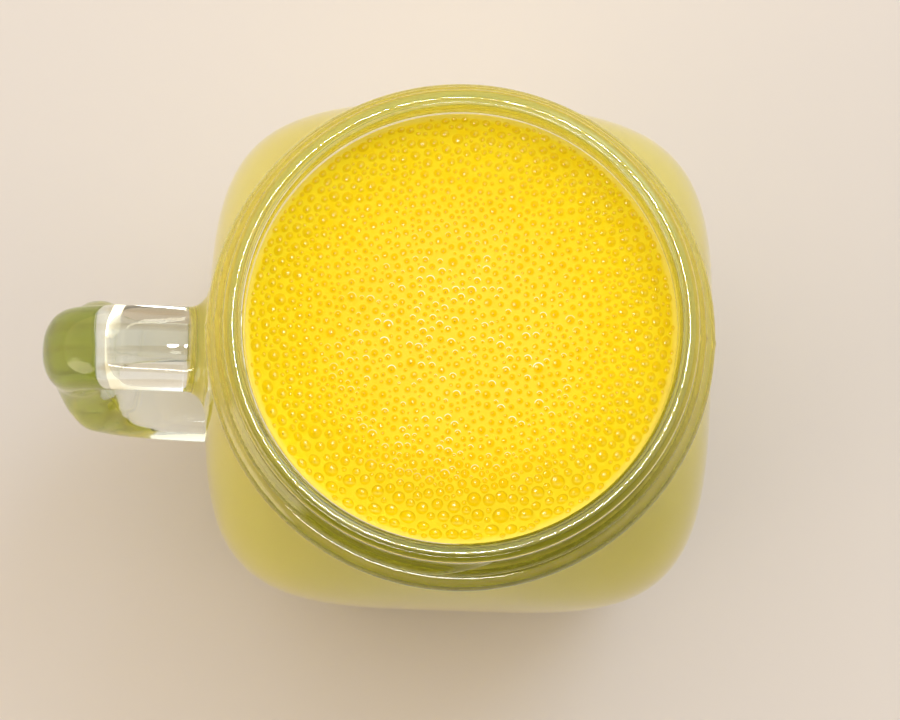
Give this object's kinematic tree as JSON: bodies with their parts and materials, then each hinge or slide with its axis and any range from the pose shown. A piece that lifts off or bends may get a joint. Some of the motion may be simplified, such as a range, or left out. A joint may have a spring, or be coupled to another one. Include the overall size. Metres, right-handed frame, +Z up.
{
  "type": "handled glass jar of turmeric latte",
  "caption": "Handled glass drinking jar with a threaded neck, filled nearly to the rim with bright yellow turmeric latte under a layer of fine froth.",
  "frame": {"origin": "on the table at the middle of the jar's flat base, under the middle of its mouth", "axes": "+Z up through the mouth, the handle points along -X, +Y away from the picture's near side"},
  "size_m": [0.107, 0.0792, 0.133],
  "materials": {
    "clear_glass": "clear, faintly green, glossy",
    "turmeric_milk": "opaque yellow milk",
    "milk_foam": "wet yellow foam of small bubbles"
  },
  "bodies": {
    "root": {"jar": "clear_glass", "latte": "turmeric_milk", "froth": "milk_foam"}
  },
  "joints": []
}
